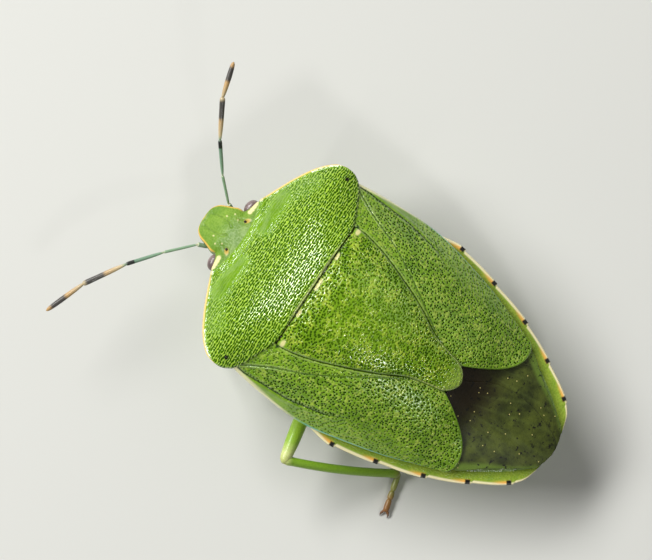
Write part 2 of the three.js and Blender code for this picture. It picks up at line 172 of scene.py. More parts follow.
def beside(x, s, points):
    """How far each place lies to the left of the broken line through (x, s) points."""
    px, ps = np.array(points).T
    return x - np.interp(s, ps, px)


def line_of(curve, steps=24):
    """The points of a plan curve."""
    x, s = curve(np.linspace(0, 1, steps))
    return list(zip(x, s))


rim = through([(0, 3.1), (1.4, 3.85), (3.6, 4.75), (5, 4.5), (7, 4.05), (9.7, 3.78), (12, 3.6), (14, 3.45),
               (17.5, 3.3)])
ridge = through([(1.4, 4.3), (1.95, 4.65), (3, 5.55), (4, 6.25), (5.4, 6.82), (7, 6.95), (9, 6.72), (11, 6.1),
                 (12.6, 5.5), (14, 4.75), (16, 4.2), (17.5, 3.75)])
keel = through([(1.4, 2.2), (4, 2.0), (7, 1.65), (9.5, 1.3), (11.5, 1.3), (13.5, 1.7), (15.5, 2.4),
                (17.4, 3.1)])
reach = through([(1.4, 2.4), (2.5, 3.8), (3.65, 4.95), (5, 4.9), (7.6, 5.0), (9.7, 4.95), (11.6, 4.5),
                 (13.6, 3.88), (15.3, 3.05), (16.75, 2.1), (17.5, 1.3)])
belly_half = through([(4.6, 4.3), (7.6, 4.75), (8.3, 4.82), (9.0, 4.92), (9.67, 4.95), (11.6, 4.52),
                      (13.6, 3.9), (15.3, 3.07), (16.78, 2.12), (17.2, 1.6), (17.42, 0.9)])
SEGMENT_ENDS = (9.67, 11.6, 13.6, 15.3, 16.78)

# Where the main plates begin and end along the body
HEAD_ENDS = (-0.14, 2.1)
SCUTELLUM_ENDS = (5.3, 12.62)
MEMBRANE_ENDS = (12.3, 17.52)
BELLY_ENDS = (4.6, 17.42)
RIM_ENDS = (8.1, 17.4)

# Thickness of the plates at their edges
SHIELD_THICK = 0.3
SCUTELLUM_THICK = 0.4
WING_THICK = 0.16
MEMBRANE_THICK = 0.05
RIM_THICK = 0.32

HAIR_RADIUS = 0.004
FRONT_HALF = 1.8  # half the width of the pronotum's front edge
PRONOTUM_SIDE = [(1.8, 1.45), (2.62, 1.81), (3.44, 2.2), (4.25, 2.73), (4.78, 3.31), (4.9, 3.75)]
PRONOTUM_REAR = [(4.9, 3.75), (4.88, 4.1), (4.68, 4.48), (4.35, 4.75), (3.7, 5.06), (3.05, 5.35), (2.6, 5.45),
                 (1.3, 5.46), (0, 5.46)]
WING_ROOT = (2.75, 5.3)
CLAVAL_FURROW = [(4.36, 4.7), (3.98, 5.4), (3.7, 5.95), (3.36, 6.8), (3.0, 7.55), (2.35, 8.65), (1.88, 9.4),
                 (1.2, 10.5), (1.0, 11.1)]
COSTAL_VEIN = [(4.5, 4.7), (4.54, 5.1), (4.5, 5.7), (4.46, 6.7), (4.4, 7.3), (4.25, 8.0), (4.1, 8.7),
               (3.72, 9.6), (3.3, 10.6)]
COSTAL_EDGE = [(4.62, 4.45), (4.72, 5.0), (4.84, 6.0), (4.94, 7.6), (4.86, 8.6), (4.62, 9.75), (4.15, 11.6),
               (3.6, 13.2), (3.34, 13.95)]
GREEN_EDGE = [(2.7, 14.4), (2.1, 15.3), (1.55, 16.4), (0.95, 17.2)]
CORIUM_END = [(0.6, 12.2), (1.0, 12.95), (1.5, 13.7), (1.95, 14.15), (2.45, 14.4), (2.95, 14.42),
              (3.24, 14.22), (3.34, 13.95)]
SCUTELLUM_SIDE = [(5.3, 2.9), (5.5, 2.9), (6.0, 2.86), (7.0, 2.62), (8.0, 2.25), (9.5, 1.62), (10.6, 1.05),
                  (11.5, 0.82), (12.1, 0.68), (12.45, 0.42), (12.62, 0.1)]
scutellum_half = through(SCUTELLUM_SIDE)


def dorsum(x, s):
    """Height of the back."""
    return rim(s) + (ridge(s) - rim(s)) * (1 - np.minimum(1, np.abs(x) / reach(s)) ** 2.3)


def venter(x, s):
    """Height of the underside."""
    return rim(s) - (rim(s) - keel(s)) * (1 - np.minimum(1, np.abs(x) / reach(s)) ** 2.1)


def coons(front, back, near, far, across, along):
    """A plan grid over a patch with four curved sides."""
    u, v = np.meshgrid(np.linspace(0, 1, across + 1), np.linspace(0, 1, along + 1))
    grids = []
    for k in (0, 1):
        f0, f1 = float(front(0.0)[k]), float(front(1.0)[k])
        b0, b1 = float(back(0.0)[k]), float(back(1.0)[k])
        corners = mix(mix(f0, f1, u), mix(b0, b1, u), v)
        grids.append(mix(front(u)[k], back(u)[k], v) + mix(near(v)[k], far(v)[k], u) - corners)
    return grids


def edges(x, s):
    """Distance of each grid point from the near, far, front and back sides of its grid."""
    across = np.pad(np.cumsum(np.hypot(np.diff(x, axis=1), np.diff(s, axis=1)), axis=1), ((0, 0), (1, 0)))
    along = np.pad(np.cumsum(np.hypot(np.diff(x, axis=0), np.diff(s, axis=0)), axis=0), ((1, 0), (0, 0)))
    return across, across[:, -1:] - across, along, along[-1:] - along


def roll(distance, radius):
    """How far a rounded edge has dropped at a distance from its rim."""
    t = 1 - np.clip(distance / radius, 0, 1)
    return radius * (1 - np.sqrt(np.maximum(0, 1 - t * t)))


# Meshes
def metres(points):
    """Places on the animal in the frame's metres."""
    return (np.asarray(points, float) - np.array([MID_X, MID_S, 0.0])) * MM


def new_object(name, points, faces, masks=None):
    """A smooth mesh object from points in metres, with one number to a point for each mask."""
    mesh = bpy.data.meshes.new(name)
    mesh.from_pydata(np.asarray(points).tolist(), [], faces.tolist() if hasattr(faces, "tolist") else faces)
    mesh.validate()
    for key, values in (masks or {}).items():
        layer = mesh.attributes.new(key, "FLOAT", "POINT")
        layer.data.foreach_set("value", np.asarray(values, np.float32).ravel())
    mesh.shade_smooth()
    obj = bpy.data.objects.new(name, mesh)
    bpy.context.scene.collection.objects.link(obj)
    return obj


def sheet(name, x, s, top, bottom, masks, side=1, under=0.0):
    """A closed mesh between an upper and a lower surface over one plan grid.

    The painted marks reach a little way down its side wall, and show on the lower surface only by under."""
    rows, cols = x.shape
    upper = np.stack([x * side, s, top], -1).reshape(-1, 3)
    lower = np.stack([x * side, s, bottom], -1).reshape(-1, 3)
    count = rows * cols
    index = np.arange(count).reshape(rows, cols)
    a, b, c, d = index[:-1, :-1], index[:-1, 1:], index[1:, 1:], index[1:, :-1]
    over = np.stack([a, b, c, d], -1).reshape(-1, 4)
    beneath = np.stack([a, d, c, b], -1).reshape(-1, 4) + count
    loop = np.concatenate([index[0, :-1], index[:-1, -1], index[-1, :0:-1], index[:0:-1, 0]])
    height = upper[loop, 2:] - lower[loop, 2:]
    bands = [mix(upper[loop], lower[loop], np.minimum(share, drop / height))
             for drop, share in ((0.05, 0.3), (0.1, 0.6))]
    band = 2 * count + np.arange(len(loop))
    rings = [loop, band, band + len(loop), loop + count]
    walls = [np.stack([r, q, np.roll(q, -1), np.roll(r, -1)], -1) for r, q in zip(rings[:-1], rings[1:])]
    faces = np.concatenate([over, beneath, *walls])
    if side < 0:
        faces = faces[:, ::-1]
    whole = {}
    for key, mask in masks.items():
        flat = np.ravel(mask)
        share = 1.0 if key == "plain" else under
        whole[key] = np.concatenate([flat, flat * share, flat[loop], flat[loop] * share])
    return new_object(name, metres(np.concatenate([upper, lower, *bands])), faces, whole)


def tube(rings, sides=20):
    """Points, faces, shares and segments of a closed tube.

    A ring is (centre, radius across, radius up, along-share, segment)."""
    points, faces = [], []
    centres = np.array([ring[0] for ring in rings], float)
    for ring, tangent in zip(rings, np.gradient(centres, axis=0)):
        t = Vector(tangent).normalized()
        aside = t.cross(Vector((0, 0, 1)))
        aside = aside.normalized() if aside.length > 0.05 else Vector((1, 0, 0))
        up = aside.cross(t)
        for k in range(sides):
            angle = 2 * math.pi * k / sides
            across, rise = ring[1] * math.cos(angle), ring[2] * math.sin(angle)
            points.append(Vector(ring[0]) + aside * across + up * rise)
    steps = [(k, (k + 1) % sides) for k in range(sides)]
    for j in range(0, (len(rings) - 1) * sides, sides):
        faces += [(j + k, j + n, j + sides + n, j + sides + k) for k, n in steps]
    last = (len(rings) - 1) * sides
    faces += [(last + sides, n, k) for k, n in steps]
    faces += [(last + sides + 1, last + k, last + n) for k, n in steps]
    points += [Vector(centres[0]), Vector(centres[-1])]
    marks = [[ring[m] for ring in rings for _ in range(sides)] + [rings[0][m], rings[-1][m]] for m in (3, 4)]
    return points, faces, *marks


def bead_rings(centre, radii, steps):
    """Rings of an upright ellipsoid."""
    rings = []
    for t in np.linspace(0.02, 0.98, steps):
        angle = math.pi * t
        level = centre[2] - radii[2] * math.cos(angle)
        rings.append(((centre[0], centre[1], level), radii[0] * math.sin(angle), radii[1] * math.sin(angle),
                      t, 0))
    return rings


def limb(start, end, profile, bow=(0, 0, 0), segment=0, squash=1.0, steps=26):
    """Rings of one limb segment. The profile lists (share of the way, radius)."""
    a, b = np.array(start, float), np.array(end, float)
    radius = through(profile)
    rings = []
    for t in np.linspace(profile[0][0], profile[-1][0], steps):
        centre = mix(a, b, t) + np.array(bow) * (4 * t * (1 - t))
        r = float(radius(t))
        rings.append((centre, r, r * squash, float(np.clip(t, 0, 1)), segment))
    return rings


def joined(name, parts, sides=20):
    """One object from several closed tubes."""
    points, faces, shares, segments = [], [], [], []
    for rings in parts:
        p, f, t, g = tube(rings, sides)
        base = len(points)
        points += p
        faces += [tuple(i + base for i in face) for face in f]
        shares += t
        segments += g
    return new_object(name, metres(points), faces, {"along": shares, "segment": segments})


def declare(obj, slot, *nodes):
    """Ties a piece to the frame: the body it rides on and the CAD nodes it stands for, which it hides. Its
    finish, the slot, is not used.
    """
    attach(obj, "root")
    if nodes:
        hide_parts(*nodes)
    return obj


def settle(obj):
    """Turns the modifiers of an object into plain mesh."""
    bpy.context.view_layer.update()
    evaluated = obj.evaluated_get(bpy.context.evaluated_depsgraph_get())
    plain = bpy.data.meshes.new_from_object(evaluated)
    plain.name = obj.name
    obj.modifiers.clear()
    obj.data = plain
    return obj


# Nodes
def put(tree, kind, inputs=(), out=0, stops=None, **settings):
    """Adds a node with its settings, values and links, and returns one of its outputs.

    The inputs are a tuple in the order of the sockets, or go by socket."""
    made = tree.nodes.new(kind)
    for key, value in settings.items():
        setattr(made, key, value)
    for key, value in inputs.items() if isinstance(inputs, dict) else enumerate(inputs):
        socket = made.inputs[key]
        if isinstance(value, bpy.types.NodeSocket):
            tree.links.new(value, socket)
        else:
            socket.default_value = value
    if stops:
        ramp = made.color_ramp
        while len(ramp.elements) < len(stops):
            ramp.elements.new(0.5)
        for element, (position, code) in zip(ramp.elements, stops):
            element.position = position
            element.color = linear(code) if isinstance(code, str) else code
    return made.outputs[out] if made.outputs else made


def pits(tree, place, spacing, stretch, wave, size=0.6, rows=0.0):
    """Depth of the punctures, 0 to 1, at a place in millimetres, in a shader or a geometry tree.

    A puncture lies in each cell of the plan, size times the spacing in radius, and rows sets how far the
    punctures run together into wavy furrows across the body."""
    drift = put(tree, "ShaderNodeTexNoise", {"Vector": place, "Scale": 0.35 / spacing, "Detail": 1.5}, out=1)
    shift = put(tree, "ShaderNodeVectorMath", (drift, (0.5, 0.5, 0.5)), operation="SUBTRACT")
    moved = put(tree, "ShaderNodeVectorMath", (shift, (wave,) * 3, place), operation="MULTIPLY_ADD")
    drawn = put(tree, "ShaderNodeVectorMath", (moved, stretch), operation="MULTIPLY")
    even = 0.65 if rows > 0.3 else 0.85
    cell = put(tree, "ShaderNodeTexVoronoi", {"Vector": drawn, "Scale": 1 / spacing, "Randomness": even},
               voronoi_dimensions="2D")
    pit = put(tree, "ShaderNodeMapRange", (cell, size, size * 0.35), interpolation_type="SMOOTHSTEP")
    if not rows:
        return pit
    back = put(tree, "ShaderNodeSeparateXYZ", (moved,), out=1)
    turns = put(tree, "ShaderNodeMath", (back, 2 * math.pi / spacing), operation="MULTIPLY")
    swing = put(tree, "ShaderNodeMath", (turns,), operation="SINE")
    trough = put(tree, "ShaderNodeMapRange", (swing, -0.5, 0.7))
    both = put(tree, "ShaderNodeMix", {0: rows, 2: pit, 3: trough}, data_type="FLOAT")
    return put(tree, "ShaderNodeMapRange", (both, 0.2, 0.85))


def start_tree(obj, word, sizes):
    """A Geometry Nodes tree on an object, with one named input for each size, and its group inputs."""
    tree = bpy.data.node_groups.new(obj.name + "_" + word, "GeometryNodeTree")
    tree.interface.new_socket("Geometry", in_out="INPUT", socket_type="NodeSocketGeometry")
    sockets = [tree.interface.new_socket(key, in_out="INPUT", socket_type="NodeSocketFloat") for key in sizes]
    tree.interface.new_socket("Geometry", in_out="OUTPUT", socket_type="NodeSocketGeometry")
    modifier = obj.modifiers.new(word, "NODES")
    modifier.node_group = tree
    for socket, value in zip(sockets, sizes.values()):
        modifier[socket.identifier] = value
    return tree, tree.nodes.new("NodeGroupInput").outputs


def finish_tree(obj, tree, geometry, material):
    """Ends a tree in real geometry of one material, and keeps the result as plain mesh."""
    real = put(tree, "GeometryNodeRealizeInstances", (geometry,))
    dressed = put(tree, "GeometryNodeSetMaterial", {"Geometry": real, "Material": material})
    put(tree, "NodeGroupOutput", (dressed,))
    return settle(obj)


def puncture(obj, depth, material, *pattern):
    """Presses punctures into the mesh, except where it is plain."""
    tree, entry = start_tree(obj, "punctures", {"Depth": depth})
    coords = put(tree, "GeometryNodeInputPosition")
    place = put(tree, "ShaderNodeVectorMath", (coords, TO_MM), operation="MULTIPLY")
    pit = pits(tree, place, *pattern)
    bare = put(tree, "GeometryNodeInputNamedAttribute", {"Name": "plain"}, data_type="FLOAT")
    rough = put(tree, "ShaderNodeMath", (1.0, bare), operation="SUBTRACT", use_clamp=True)
    amount = put(tree, "ShaderNodeMath", (pit, rough), operation="MULTIPLY")
    sink = put(tree, "ShaderNodeMath", (amount, entry["Depth"]), operation="MULTIPLY")
    down = put(tree, "ShaderNodeMath", (sink, -1.0), operation="MULTIPLY")
    offset = put(tree, "ShaderNodeVectorMath", {0: put(tree, "GeometryNodeInputNormal"), "Scale": down},
                 operation="SCALE")
    moved = put(tree, "GeometryNodeSetPosition", {"Geometry": entry["Geometry"], "Offset": offset})
    finish_tree(obj, tree, moved, material)


def hair(obj, material, length, count):
    """Scatters fine hairs over an object."""
    area = sum(face.area for face in obj.data.polygons)
    tree, entry = start_tree(obj, "hairs", {"Length": length, "Density": count / area})
    scatter = put(tree, "GeometryNodeDistributePointsOnFaces",
                  {"Mesh": entry["Geometry"], "Density": entry["Density"], "Seed": 7}).node.outputs
    form = {"Vertices": 4, "Radius Top": 0.0, "Radius Bottom": HAIR_RADIUS * MM, "Depth": entry["Length"]}
    cone = put(tree, "GeometryNodeMeshCone", form)
    lean = put(tree, "FunctionNodeRandomValue", {0: (-0.5, -0.5, -3.1), 1: (0.5, 0.5, 3.1), "Seed": 3},
               data_type="FLOAT_VECTOR")
    turned = put(tree, "FunctionNodeRotateRotation", (scatter["Rotation"], lean), rotation_space="LOCAL")
    hairs = put(tree, "GeometryNodeInstanceOnPoints",
                {"Points": scatter["Points"], "Instance": cone, "Rotation": turned})
    real = put(tree, "GeometryNodeRealizeInstances", (hairs,))
    whole = tree.nodes.new("GeometryNodeJoinGeometry")
    for piece in (real, entry["Geometry"]):
        tree.links.new(piece, whole.inputs[0])
    finish_tree(obj, tree, whole.outputs[0], material)


def new_material(name):
    """An empty material and its node tree."""
    made = bpy.data.materials.new(name)
    made.use_nodes = True
    made.node_tree.nodes.clear()
    return made, made.node_tree


def shaded(made, **look):
    """Ends a material's tree in one shader, whose values go by socket name with _ for a space."""
    tree = made.node_tree
    inputs = {key.replace("_", " "): value for key, value in look.items()}
    shader = put(tree, "ShaderNodeBsdfPrincipled", inputs)
    put(tree, "ShaderNodeOutputMaterial", {"Surface": shader})
    return made


def masks_of(tree, *names):
    """The painted masks of a mesh by name."""
    return {key: put(tree, "ShaderNodeAttribute", out="Fac", attribute_name=key) for key in names}


def layered(tree, colour, layers):
    """A colour with others laid over it. A layer is (how much of it shows, sRGB colour)."""
    for amount, code in layers:
        colour = put(tree, "ShaderNodeMix", {0: amount, 6: colour, 7: linear(code)}, out=2, data_type="RGBA")
    return colour


def cuticle(name, light, deep, pit_colour, pattern, pale="#d8d79a", warm="#dcae35", dark="#12140c", net=None,
            net_size=0.42, net_from=0.4, blobs=False, net_tint=0.6, lit_crest=None, roughness=0.3, relief=0.02,
            coat=0.6, tint=0.85):
    """Insect cuticle: a waxy green shell, darker in its punctures, partly by their own darker colour and
    partly by painted shade in the hollows.

    The masks pale, warm and dark paint its marks."""
    made, tree = new_material(name)
    coords = put(tree, "ShaderNodeTexCoord", out="Object")
    place = put(tree, "ShaderNodeVectorMath", (coords, TO_MM), operation="MULTIPLY")
    mask = masks_of(tree, "pale", "warm", "dark", "plain")
    cloud = put(tree, "ShaderNodeTexNoise", {"Vector": place, "Scale": 1.3, "Detail": 3.0, "Roughness": 0.6})
    base = put(tree, "ShaderNodeValToRGB", (cloud,), stops=[(0.36, deep), (0.64, light)])
    pit = pits(tree, place, *pattern)
    rough = put(tree, "ShaderNodeMath", (1.0, mask["plain"]), operation="SUBTRACT", use_clamp=True)
    layers = []
    # Painted light: the ridge tops between the punctures take the lighter crest colour, standing in for the
    # light they catch
    if lit_crest:
        top = put(tree, "ShaderNodeMapRange", (pit, 0.45, 0.05))
        layers.append((put(tree, "ShaderNodeMath", (top, rough), operation="MULTIPLY"), lit_crest))
    swell = 0.0
    if net:
        worm = put(tree, "ShaderNodeTexNoise",
                   {"Vector": place, "Scale": 1 / net_size, "Detail": 1.5, "Distortion": 0.6})
        if blobs:
            steps = (worm, 0.53, 0.64)
        else:
            centred = put(tree, "ShaderNodeMath", (worm, 0.5), operation="SUBTRACT")
            steps = (put(tree, "ShaderNodeMath", (centred,), operation="ABSOLUTE"), 0.07, 0.01)
        line = put(tree, "ShaderNodeMapRange", steps, interpolation_type="SMOOTHSTEP")
        gate = put(tree, "ShaderNodeMapRange", (cloud, net_from, net_from + 0.14))
        gated = put(tree, "ShaderNodeMath", (line, gate), operation="MULTIPLY")
        shown = put(tree, "ShaderNodeMath", (gated, rough), operation="MULTIPLY")
        layers.append((put(tree, "ShaderNodeMath", (shown, net_tint), operation="MULTIPLY"), net))
        rough = put(tree, "ShaderNodeMath", (shown, -0.6, rough), operation="MULTIPLY_ADD", use_clamp=True)
        swell = put(tree, "ShaderNodeMath", (shown, 0.3), operation="MULTIPLY")
    # The punctures are painted darker: partly their own darker colour, partly painted shade in the hollows
    sunk = put(tree, "ShaderNodeMath", (pit, rough), operation="MULTIPLY")
    pit_tone_and_shade = put(tree, "ShaderNodeMath", (sunk, tint), operation="MULTIPLY")
    layers += [(pit_tone_and_shade, pit_colour), (mask["pale"], pale), (mask["warm"], warm), (mask["dark"], dark)]
    height = put(tree, "ShaderNodeMath", (swell, sunk), operation="SUBTRACT")
    fine = put(tree, "ShaderNodeTexNoise", {"Vector": place, "Scale": 22.0, "Detail": 2.0})
    raised = put(tree, "ShaderNodeMath", (fine, 0.06, height), operation="MULTIPLY_ADD")
    normal = put(tree, "ShaderNodeBump", {"Height": raised, "Strength": 1.0, "Distance": relief * MM})
    wear = put(tree, "ShaderNodeMapRange", (fine, 0.0, 1.0, roughness - 0.05, roughness + 0.08))
    # Little light gets into a puncture, so the shine fades towards its bottom
    shine = put(tree, "ShaderNodeMapRange", (sunk, 0.0, 0.7, 0.5, 0.03))
    wax = put(tree, "ShaderNodeMapRange", (sunk, 0.0, 0.7, coat, 0.0))
    return shaded(made, Base_Color=layered(tree, base, layers), Roughness=wear, Normal=normal, IOR=1.5,
                  Specular_IOR_Level=shine, Coat_Weight=wax, Coat_Roughness=0.12, Coat_Normal=normal)


def banded(name, bands, roughness=0.42, mottle=(0.7, 1.25)):
    """Limb cuticle with bands of colour. A band is (segment + share of the way along it, sRGB colour)."""
    made, tree = new_material(name)
    mask = masks_of(tree, "along", "segment")
    total = put(tree, "ShaderNodeMath", tuple(mask.values()), operation="ADD")
    last = bands[-1][0]
    share = put(tree, "ShaderNodeMath", (total, last), operation="DIVIDE")
    colour = put(tree, "ShaderNodeValToRGB", (share,), stops=[(at / last, code) for at, code in bands])
    coords = put(tree, "ShaderNodeTexCoord", out="Object")
    fine = put(tree, "ShaderNodeTexNoise", {"Vector": coords, "Scale": 14 / MM, "Detail": 3.0})
    tone = put(tree, "ShaderNodeMapRange", (fine, 0.0, 1.0, *mottle))
    shade = put(tree, "ShaderNodeVectorMath", {0: colour, "Scale": tone}, operation="SCALE")
    normal = put(tree, "ShaderNodeBump", {"Height": fine, "Strength": 0.5, "Distance": 0.015 * MM})
    return shaded(made, Base_Color=shade, Roughness=roughness, Normal=normal, Coat_Weight=0.15)


def membrane_film():
    """Wing membrane: a thin, glossy, smoky film with dark flecks and faint veins."""
    made, tree = new_material("wing_membrane")
    coords = put(tree, "ShaderNodeTexCoord", out="Object")
    place = put(tree, "ShaderNodeVectorMath", (coords, TO_MM), operation="MULTIPLY")
    mask = masks_of(tree, "veins", "green", "base")
    cloud = put(tree, "ShaderNodeTexNoise", {"Vector": place, "Scale": 1.6, "Detail": 4.0, "Roughness": 0.65})
    base = put(tree, "ShaderNodeValToRGB", (cloud,), stops=[(0.35, "#2a320c"), (0.65, "#505a1c")])
    faint = put(tree, "ShaderNodeMath", (mask["veins"], 0.12), operation="MULTIPLY")
    grime = put(tree, "ShaderNodeTexNoise", {"Vector": place, "Scale": 4.5, "Detail": 5.0, "Roughness": 0.7})
    fleck = put(tree, "ShaderNodeMapRange", (grime, 0.585, 0.63))
    # Painted highlight: small pale glints laid into the membrane's colour
    cell = put(tree, "ShaderNodeTexVoronoi", {"Vector": place, "Scale": 1.2}, voronoi_dimensions="2D")
    painted_glint = put(tree, "ShaderNodeMapRange", (cell, 0.035, 0.015))
    layers = [(mask["green"], "#66802a"), (mask["base"], "#261e0a"), (faint, "#6f7f3c"), (fleck, "#0c0c04"),
              (painted_glint, "#e0d080")]
    fine = put(tree, "ShaderNodeTexNoise", {"Vector": place, "Scale": 16.0, "Detail": 3.0})
    normal = put(tree, "ShaderNodeBump", {"Height": fine, "Strength": 0.6, "Distance": 0.02 * MM})
    return shaded(made, Base_Color=layered(tree, base, layers), Roughness=0.5, Normal=normal, IOR=1.4)


def eye_glass(facet):
    """Compound eye: thousands of glassy facets over grey-brown pigment."""
    made, tree = new_material("compound_eye")
    coords = put(tree, "ShaderNodeTexCoord", out="Object")
    cell = put(tree, "ShaderNodeTexVoronoi", {"Vector": coords, "Scale": 1 / facet, "Randomness": 0.25})
    cloud = put(tree, "ShaderNodeTexNoise", {"Vector": coords, "Scale": 2.2 / MM, "Detail": 2.0})
    colour = put(tree, "ShaderNodeValToRGB", (cloud,), stops=[(0.35, "#5d4c4a"), (0.65, "#8d7a78")])
    dome = put(tree, "ShaderNodeMath", (cell, -1.0), operation="MULTIPLY")
    normal = put(tree, "ShaderNodeBump", {"Height": dome, "Strength": 0.6, "Distance": 0.01 * MM})
    return shaded(made, Base_Color=colour, Roughness=0.35, Normal=normal, Coat_Weight=0.4,
                  Coat_Roughness=0.08)


def grid_size(length, grain):
    """How many points a mesh takes over a length."""
    return max(4, int(round(length / grain)))


def grid(start, ends, across, along):
    """Shares across a plan grid, from start to 1, and places along it from one end to the other."""
    return np.meshgrid(np.linspace(start, 1, across), np.linspace(*ends, along))


def settings():
    """The measures of the panel, and the mesh grain in millimetres."""
    p = bpy.context.scene.bug
    return p, p.grain / MM


# Pieces
class BUG_OT_pronotum(bpy.types.Operator):
    """Builds the shield behind the head with the underside below it"""
    bl_idname = "bug.pronotum"
    bl_label = "Pronotum"

    def execute(self, context):
        p, grain = settings()
        rear = plan_curve(PRONOTUM_REAR)
        side = plan_curve(PRONOTUM_SIDE)

        def front(u):
            x = FRONT_HALF * (2 * u - 1)
            return x, 1.45 + 0.38 * (1 - np.abs(x / FRONT_HALF) ** 2.2)

        def back(u):
            x, s = rear(1 - np.abs(2 * u - 1))
            return x * np.sign(2 * u - 1), s

        x, s = coons(front, back, lambda t: (-side(t)[0], side(t)[1]), side,
                     grid_size(9.4, grain), grid_size(3.6, grain))
        near, far, ahead, behind = edges(x, s)
        margin = np.minimum(near, far)
        top = dorsum(x, s)
        top -= 0.035 * smooth(margin, 0.08, 0.2) * fall(margin, 0.2, 0.5)
        top += 0.04 * near_points(x, s, [(1.6, 2.1)], 0.8)
        top -= 0.05 * fall(np.abs(ahead - 0.42), 0.0, 0.3)
        bottom = np.minimum(venter(x, s), top - SHIELD_THICK)
        top = top - roll(margin, 0.09) - roll(behind, 0.1) - roll(ahead, 0.07)
        line = fall(margin, 0.06, 0.12)
        callus = away_from(np.abs(x), s, [(0.9, 2.28), (1.5, 2.28), (2.4, 2.24)])
        masks = {
            "plain": highest(fall(margin, 0.1, 0.28), 0.75 * fall(ahead, 0.2, 0.6),
                             0.9 * fall(callus, 0.1, 0.75),
                             0.4 * near_points(x, s, [(3.1, 2.6), (3.5, 2.85)], 0.7)),
            "warm": line * smooth(s, 1.4, 1.7),
            "pale": np.maximum(near_points(x, s, [(1.86, 1.5)], 0.13),
                               0.5 * fall(np.abs(behind - 0.07), 0.01, 0.05) * fall(np.abs(x), 1.2, 2.2)),
            "dark": np.maximum(near_points(x, s, [(4.44, 4.06)], 0.12), 0.14 * fall(callus, 0.05, 0.3)),
        }
        obj = sheet("pronotum_shell", x, s, top, bottom, masks)
        # Pronotum cuticle: hard, waxy, closely punctured in wavy cross-wise rows, with painted light on the
        # ridge tops between the punctures
        pattern = (p.pit_spacing / MM, (0.7, 1.0, 1.0), 0.17, 0.6, 0.45)
        skin = cuticle("pronotum_cuticle", p.shield_green, "#66940e", "#244c02", pattern, lit_crest="#a0c43a",
                       warm="#ecc96e", roughness=0.16, relief=0.024, coat=1.0, tint=0.92)
        puncture(obj, p.pit_depth, skin, *pattern)
        declare(obj, "pronotum_cuticle", "pronotum")
        return {"FINISHED"}


class BUG_OT_scutellum(bpy.types.Operator):
    """Builds the long triangle over the middle of the back"""
    bl_idname = "bug.scutellum"
    bl_label = "Scutellum"

    def execute(self, context):
        p, grain = settings()
        u, s = grid(-1, SCUTELLUM_ENDS, grid_size(4.6, grain), grid_size(6.8, grain))
        x = u * scutellum_half(s)
        near, far, _, behind = edges(x, s)
        margin = np.minimum(near, far)
        top = dorsum(x, s) + 0.05 - 0.1 * np.abs(u) ** 5 - roll(margin, 0.1) - roll(behind, 0.14)
        top -= 0.12 * fall(s, 5.42, 5.62)
        top += 0.05 * fall(s, 11.2, 12.3) * (1 - np.abs(u)) ** 0.5 * smooth(s, 5.6, 6.4)
        middle = fall(np.abs(u), 0.35, 0.95) * smooth(s, 6.0, 7.2) * fall(s, 9.0, 11.0)
        masks = {
            "plain": highest(fall(margin, 0.02, 0.1), near_points(x, s, [(2.82, 5.72)], 0.3),
                             0.3 * middle, 0.6 * smooth(s, 11.4, 12.3)),
            "pale": highest(
                near_points(x * 0.6, s, [(1.64, 5.69)], 0.12),
                0.85 * near_points(x * 0.45, s, [(0.05, 5.57), (0.62, 5.56)], 0.1),
                0.12 * smooth(s, 11.8, 12.5),
                0.3 * fall(np.abs(margin - 0.07), 0.0, 0.04) * smooth(s, 10.0, 11.5)),
            # Painted shade: the front of the scutellum, where it tucks under the pronotum, and a thin line
            # along its side edges where it meets the wings are painted dark
            "dark": np.maximum(fall(s, 5.47, 5.53), 0.75 * fall(margin, 0.015, 0.045)),
        }
        obj = sheet("scutellum_shell", x, s, top, top - SCUTELLUM_THICK, masks)
        # Scutellum cuticle: punctured, with a raised, paler, worm-like network
        pattern = (p.pit_spacing / MM * 1.05, (0.85, 1.0, 1.0), 0.15, 0.5, 0.12)
        skin = cuticle("scutellum_cuticle", p.scutellum_green, "#6a9212", "#1e4004", pattern, net="#b4c63e",
                       net_size=0.3, net_from=0.4, net_tint=0.72, roughness=0.15, relief=0.026, coat=1.0,
                       pale="#e2dc96", tint=0.9)
        puncture(obj, p.pit_depth, skin, *pattern)
        declare(obj, "scutellum_cuticle", "scutellum")
        return {"FINISHED"}


